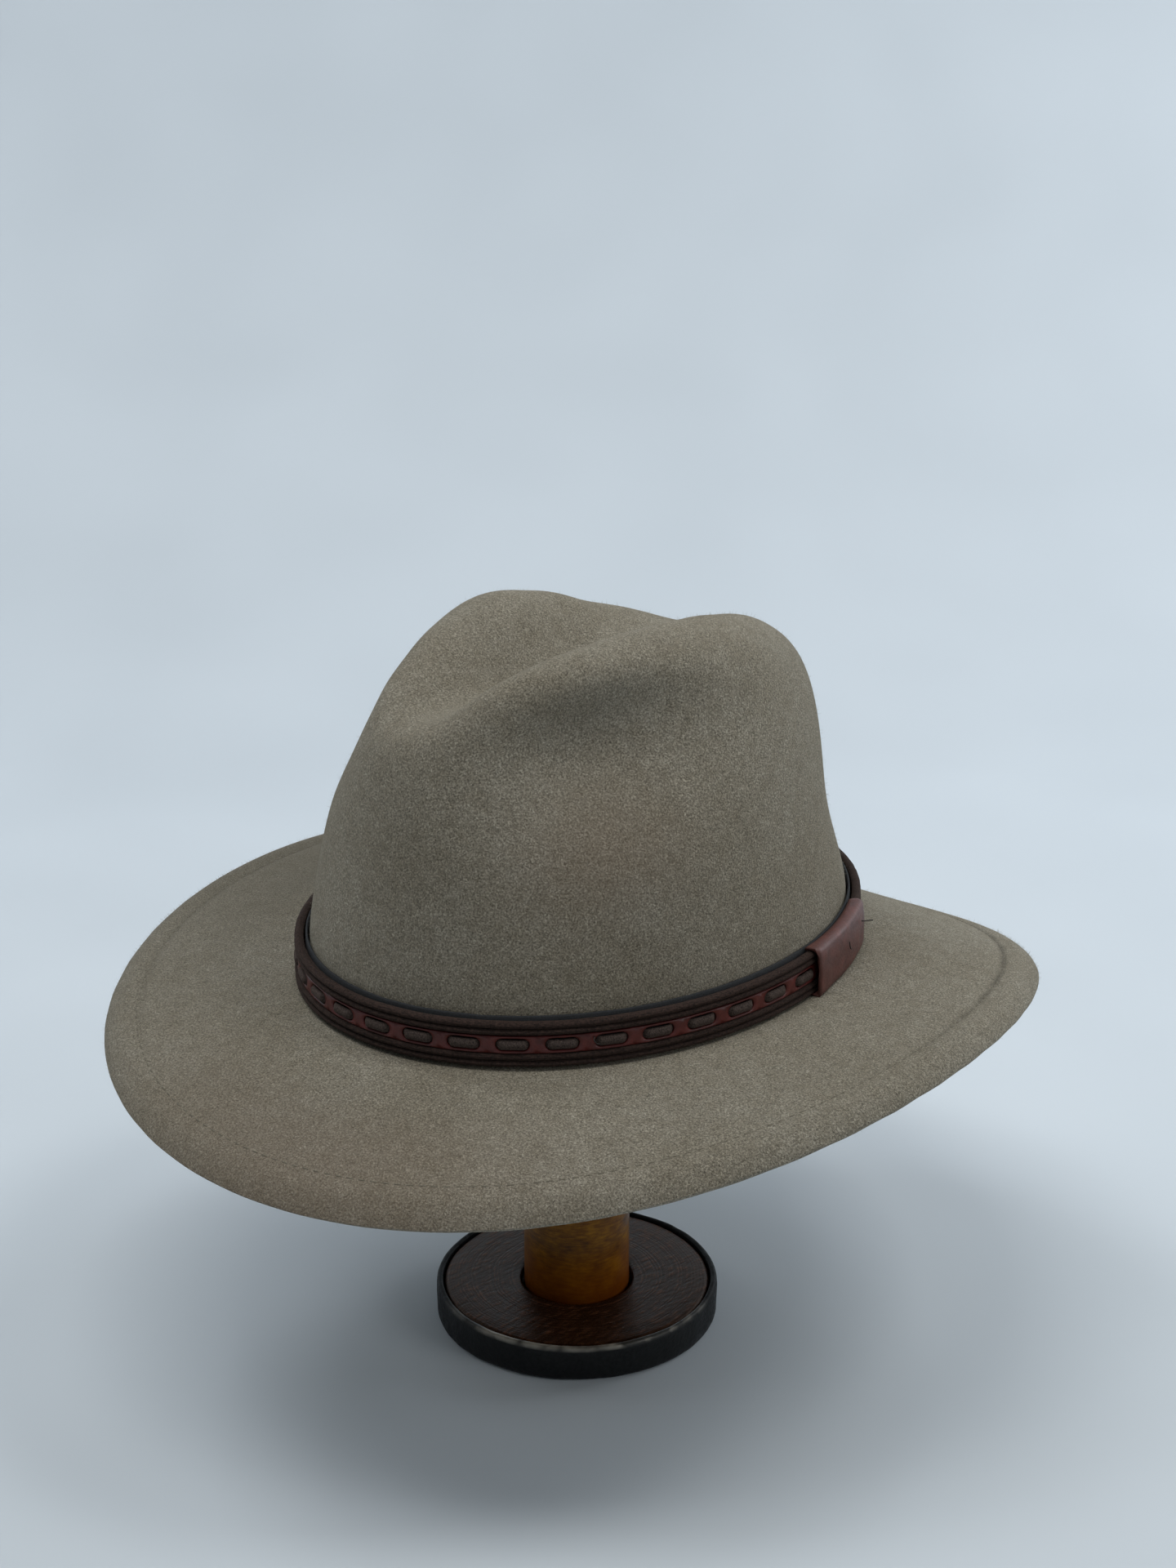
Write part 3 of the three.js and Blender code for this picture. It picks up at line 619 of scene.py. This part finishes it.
def stripCell(middle):  # one pitch of the leather strip, with its rounded window
    half, high = pitch / 2, strip["high"] / 2
    long, tall = strip["windowLong"], strip["windowHigh"]
    straight = long - tall
    angles = [90, 67.5, 45, 22.5, 0, -22.5, -45, -67.5, -90]
    path = []
    for sign in (1, -1):
        for degrees in angles:
            f = math.radians(degrees if sign > 0 else 180 + degrees)
            window = (sign * straight + tall * math.cos(f), tall * math.sin(f))
            t = abs(degrees)
            up = 1 if (degrees > 0) == (sign > 0) else -1
            if t >= 45:
                outer = (sign * (straight + (half - straight) * (90 - t) / 45), up * high)
            else:
                outer = (sign * half, up * high * t / 45)
            path.append((window, outer, t))
    count = len(path)
    rings = []
    for share, off, grow in ((0, strip["from"], 0), (0, strip["to"] - 0.3, 0), (0, strip["to"], 0.25),
                             (0.5, strip["to"] + 0.1, 0.25), (1, strip["to"], 0), (1, strip["from"], 0)):
        ring = []
        for window, outer, t in path:
            length = math.hypot(outer[0] - window[0], outer[1] - window[1])
            s = min(0.9, share + grow / length) if share < 1 else 1
            u, v = (window[k] + (outer[k] - window[k]) * s for k in (0, 1))
            if share == 1 and abs(abs(v) - high) < 1e-6:
                v -= math.copysign(0.0 if off == strip["from"] else 0.12, v)
            ring.append((middle + u, band["middle"] + v, off))
        rings.append(ring)
    return rings, count


def makeStrip():
    points, runs, faces = [], [], []
    for k in range(band["laces"]):
        rings, count = stripCell(alongAt(band["start"]) + k * pitch)
        first = len(points)
        for ring in rings:
            for s, up, off in ring:
                points.append(bandPoint(s, up, off))
                runs.append((s, up))
        for r in range(len(rings)):
            for i in range(count):
                j = (i + 1) % count
                a, b = first + r * count, first + ((r + 1) % len(rings)) * count
                if r == 4:  # outer edge: only along the strip's top and bottom
                    ups = [rings[4][q][1] - band["middle"] for q in (i, j)]
                    if ups[0] * ups[1] < 0 or min(abs(u) for u in ups) < strip["high"] / 2 - 0.2:
                        continue
                faces.append((a + i, a + j, b + j, b + i))
    leather = leatherMaterial("red_brown_leather", "#4b1b17", "#642824", 0.42)
    finish(meshObject("lacing_strip_leather", points, faces, runs), leather, "band_leather", "leather_strip")


def makeLace():
    each = 22
    alongs = [alongAt(band["start"]) + (k / each - 0.5) * pitch for k in range(each * band["laces"])]

    def section(s):
        place = (s - alongAt(band["start"])) / pitch
        u = abs(place - round(place)) * pitch
        rise = 1 - smoothStep(3.5, 5.6, u)
        slim = math.sqrt(max(0.3, 1 - (max(0, u - 3.1) / 2.6) ** 2))
        tall = lace["halfHigh"] * (0.72 + 0.28 * slim) * (1 + 0.05 * noise.noise(Vector((s * 0.5, 1, 1))))
        deep = lace["halfDeep"] * (0.55 + 0.45 * rise)
        off = lace["back"] + (lace["out"] - lace["back"]) * rise
        shift = 0.14 * noise.noise(Vector((round(place) * 3.7, 5, 2)))
        return oval(band["middle"] + shift, off, tall, deep, 12)
    suede = suedeMaterial("suede_lace", "#241d1b", "#5a4e48", 2.2)
    finish(sweep("lacing_suede", alongs, section), suede, "suede_lace", "lacing_cord")


def makeKeeper():
    middle, half = alongAt(keeper["turn"]), keeper["wide"] / 2
    steps = 36
    alongs = [middle - half + keeper["wide"] * k / steps for k in range(steps + 1)]

    def section(s):
        u = s - (middle - half)
        flare = keeper["flare"] * math.exp(-(u / 7) ** 2)
        wave = 0.35 * noise.noise(Vector((s * 0.07, 9, 1)))
        low = keeper["low"] - 0.15 * flare + wave * 0.4
        high = keeper["high"] + 0.2 * flare + wave * 0.5
        off, thick = keeper["off"] + flare, keeper["thick"]
        outer = [(low + 0.9, 2.2), (low, 3.4), (low - 0.2, off - 1.6), (low + 0.2, off - 0.4),
                 (low + 1.2, off + 0.1)]
        for k in range(1, 7):
            up = low + 1.2 + (high - low - 2.4) * k / 7
            swell = 0.25 * math.sin(math.pi * k / 7) + 0.22 * noise.noise(Vector((s * 0.16, up * 0.2, 4)))
            outer.append((up, off + swell))
        outer += [(high - 1.2, off), (high - 0.2, off - 0.5), (high + 0.3, off - 1.8), (high, 2.6),
                  (high - 0.4, 1.6)]
        inner = []
        for k, (up, out) in enumerate(outer):
            inward = thick if up < 6 else -thick if up > 10 else 0
            inner.append((up + inward, out - (thick if 1 < k < len(outer) - 2 else 0)))
        return outer + inner[::-1]
    obj = sweep("band_keeper_leather", alongs, section, closed=False)
    finish(obj, leatherMaterial("keeper_leather", "#4e2f2a", "#683e37", 0.5), "keeper_leather", "keeper")


def makeThreads():  # short loose ends on the keeper and by one lace
    dark = threadMaterial("dark_thread", 0.4, "#15110f", "#2e2723")
    near, far = alongAt(114.2), alongAt(124)
    loose = {  # stops of each thread: along the band, up, off the felt
        "keeper_stitch": [(near - 0.6, 10.2, 7.25), (near - 0.9, 8.6, 7.5), (near - 0.1, 7.4, 7.5),
                          (near + 1.4, 6.8, 7.2)],
        "keeper_thread": [(far - 1, 10.5, 6.9), (far, 10.2, 8), (far + 1.5, 9.9, 9.3),
                          (far + 2.4, 9.6, 10.2)],
        "lace_thread": [(alongAt(52.5), 9, 4.2), (alongAt(52.2), 8.2, 5.2), (alongAt(52.8), 7, 5.4),
                        (alongAt(53.6), 6.6, 4.6)],
    }
    for name, stops in loose.items():
        centre = [bandPoint(*stop) for stop in stops]
        smooth = []
        for k in range(len(centre) - 1):
            before, after = centre[max(0, k - 1)], centre[min(len(centre) - 1, k + 2)]
            for t in (0, 0.25, 0.5, 0.75):
                a, b = centre[k], centre[k + 1]
                smooth.append(0.5 * (2 * a + (b - before) * t + (2 * before - 5 * a + 4 * b - after) * t * t
                                     + (3 * a - before - 3 * b + after) * t ** 3))
        smooth.append(centre[-1])
        rings = []
        for k, p in enumerate(smooth):
            ahead = (smooth[min(k + 1, len(smooth) - 1)] - smooth[max(k - 1, 0)]).normalized()
            side = ahead.cross(Vector((0, 0, 1))).normalized()
            rings.append((p, side, side.cross(ahead), 0.2 if k < len(smooth) - 1 else 0.08))
        points, faces = [], []
        addTube(points, faces, rings)
        finish(meshObject(name, points, faces), dark, "suede_cord")


trimSuede = suedeMaterial("suede_cord", "#0f0b0a", "#3f302a", 0.5)
makeBacking()
makeTrim("trim_cords_lower", trim["lower"], "trim_lower", trimSuede)
makeTrim("trim_cords_upper", trim["upper"], "trim_upper", trimSuede)
makeStrip()
makeLace()
makeKeeper()
makeThreads()
print("band done")


# Stand
base = {"outer": 51.3, "inner": 49, "high": 13, "discOuter": 48.6, "discHigh": 12.4,
        "mouth": 20.5, "seat": 19.5}
post = {"radius": 19.2}


def turned(name, profile, sides, change=None):  # turns an (r, z) outline in mm about the upright axis
    work = bmesh.new()
    corners = [work.verts.new((r * mm, 0, z * mm)) for r, z in profile]
    pairs = list(zip(corners, corners[1:]))
    if profile[0][0] > 0:  # a ring's outline closes on itself, a solid piece's ends on the axis
        pairs.append((corners[-1], corners[0]))
    edges = [work.edges.new(pair) for pair in pairs]
    bmesh.ops.spin(work, geom=corners + edges, cent=(0, 0, 0), axis=(0, 0, 1), angle=2 * math.pi, steps=sides,
                   use_merge=True)
    if change:
        for corner in work.verts:
            turn = math.atan2(corner.co.y, corner.co.x)
            r, z = change(turn, math.hypot(corner.co.x, corner.co.y) / mm, corner.co.z / mm)
            corner.co = Vector((r * math.cos(turn), r * math.sin(turn), z)) * mm
    return closed(name, bpy.data.meshes.new(name), work)


def makeStand():
    def worked(turn, r, z):  # hammered by hand: the rim wavers a little
        here = Vector((math.cos(turn) * 2.2, math.sin(turn) * 2.2, z * 0.1))
        fine = Vector((math.cos(turn) * 9, math.sin(turn) * 9, z * 0.3))
        out = 0.35 * noise.noise(here) + 0.16 * noise.noise(fine)
        up = 0.3 * noise.noise(here + Vector((5, 5, 5))) + 0.14 * noise.noise(fine + Vector((5, 5, 5)))
        return r + out * (1 if r > 50 else 0.3), z + (up if z > 2 else 0)
    o, i, h = base["outer"], base["inner"], base["high"]
    ring = [(i, 0), (o - 1.2, 0), (o - 0.5, 0.4), (o, 1.4), (o, 4), (o, 7), (o, 10), (o - 0.1, h - 1),
            (o - 0.4, h - 0.3), (o - 0.9, h), (i + 0.5, h), (i + 0.1, h - 0.4), (i, h - 1.2), (i, 6)]
    finish(turned("iron_ring", ring, 200, worked), ironMaterial(), "iron_ring", "base_ring")
    o, h, m, s = base["discOuter"], base["discHigh"], base["mouth"], base["seat"]
    disc = [(s, 0), (o, 0), (o, h - 1.6), (o - 0.3, h - 0.8), (o - 0.9, h - 0.2), (o - 1.8, h), (40, h),
            (34, h), (28, h), (m + 1.4, h), (m + 0.5, h - 0.2), (m, h - 0.8), (m, h - 4), (s, h - 4)]
    finish(turned("turned_wood_disc", disc, 160), discMaterial(), "base_wood", "base_disc")
    r, top = post["radius"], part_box("post")[1].z / mm
    column = [(0, 0), (r - 0.5, 0), (r, 0.5), (r, 30), (r, 70), (r, 120), (r, 170), (r, top - 0.5),
              (r - 0.5, top), (0, top)]
    finish(turned("varnished_post", column, 96), postMaterial(), "post_wood", "post")
    made = smoothCopy("stand_head", 1)
    finish(linked("plain_head", made), headMaterial(), "head_wood", "stand_head")


makeStand()
print("stand done")


# Floor and light
backdrop = {"near": -1.6, "bendAt": 0.55, "bend": 0.7, "top": 2.6, "wide": 4.4, "under": 0.0003}  # metres


def makeBackdrop():  # a level floor that curves up into a wall
    start, bend = backdrop["bendAt"], backdrop["bend"]
    line = [(backdrop["near"], 0), (start, 0)]
    for k in range(1, 15):
        t = math.pi / 2 * k / 15
        line.append((start + bend * math.sin(t), bend - bend * math.cos(t)))
    line += [(start + bend, bend), (start + bend, backdrop["top"])]
    work = bmesh.new()
    corner = -right * backdrop["wide"] / 2 - Vector((0, 0, backdrop["under"]))
    corners = [work.verts.new(corner + level * back + Vector((0, 0, up))) for back, up in line]
    edges = [work.edges.new(pair) for pair in zip(corners, corners[1:])]
    moved = bmesh.ops.extrude_edge_only(work, edges=edges)["geom"]
    farSide = [v for v in moved if isinstance(v, bmesh.types.BMVert)]
    bmesh.ops.translate(work, vec=right * backdrop["wide"], verts=farSide)
    obj = closed("backdrop", bpy.data.meshes.new("backdrop"), work)
    for face in obj.data.polygons:
        face.use_smooth = True
    obj.data.materials.append(floorMaterial())


def areaLight(name, where, aim, size, power, colour):  # where and aim: right, away from camera, up, in metres
    light = bpy.data.lights.new(name, "AREA")
    light.shape = "RECTANGLE"
    light.size, light.size_y = size
    light.energy = power
    light.color = linearOf(colour)[:3]
    obj = linked(name, light)
    at, to = (right * p[0] + level * p[1] + Vector((0, 0, p[2])) for p in (where, aim))
    back = (at - to).normalized()
    wide = (right - back * right.dot(back)).normalized()  # the longer side lies across the view
    obj.matrix_world = Matrix.Translation(at) @ Matrix((wide, back.cross(wide), back)).transposed().to_4x4()


makeBackdrop()
low, aside = (0, 0, 0.15), (0.9, 0.7)
areaLight("top_middle", (-0.2, -0.3, 1.45), (-0.1, -0.15, 0), (0.7, 0.5), 5.8, "#fbfbf9")
areaLight("top_left", (-0.75, -0.2, 1.45), (-0.37, -0.1, 0), (0.45, 0.35), 3.0, "#f6f8fa")
areaLight("top_right", (0.7, -0.2, 1.45), (0.35, -0.1, 0), (0.45, 0.35), 4.8, "#fbfbf9")
areaLight("back_left", (-0.75, 0.55, 1.45), (-0.37, 0.28, 0), (0.45, 0.35), 3.0, "#f2f6fb")
areaLight("back_right", (0.7, 0.55, 1.45), (0.35, 0.28, 0), (0.45, 0.35), 2.3, "#f2f6fb")
areaLight("side_left", (-1.5, 0.9, 0.75), low, aside, 2.0, "#eff4fb")
areaLight("side_right", (1.5, 0.9, 0.75), low, aside, 4.6, "#eff4fb")
areaLight("front_right", (1.5, -0.9, 0.75), low, aside, 5.0, "#f6f8fa")
areaLight("glow_right", (1.0, 0.5, 0.75), (0.35, 1.15, 0.25), (0.7, 0.5), 2.6, "#f6f9fc")
areaLight("glow_left", (-1.0, 0.5, 0.75), (-0.35, 1.15, 0.25), (0.7, 0.5), 1.2, "#f6f9fc")
world = bpy.data.worlds.new("room")
bpy.context.scene.world = world
world.use_nodes = True
world.node_tree.nodes["Background"].inputs[0].default_value = linearOf("#dfe6ec")
world.node_tree.nodes["Background"].inputs[1].default_value = 0.2
bpy.context.scene.view_settings.view_transform = "Standard"
bpy.context.scene.view_settings.look = "None"
print("floor and light done")
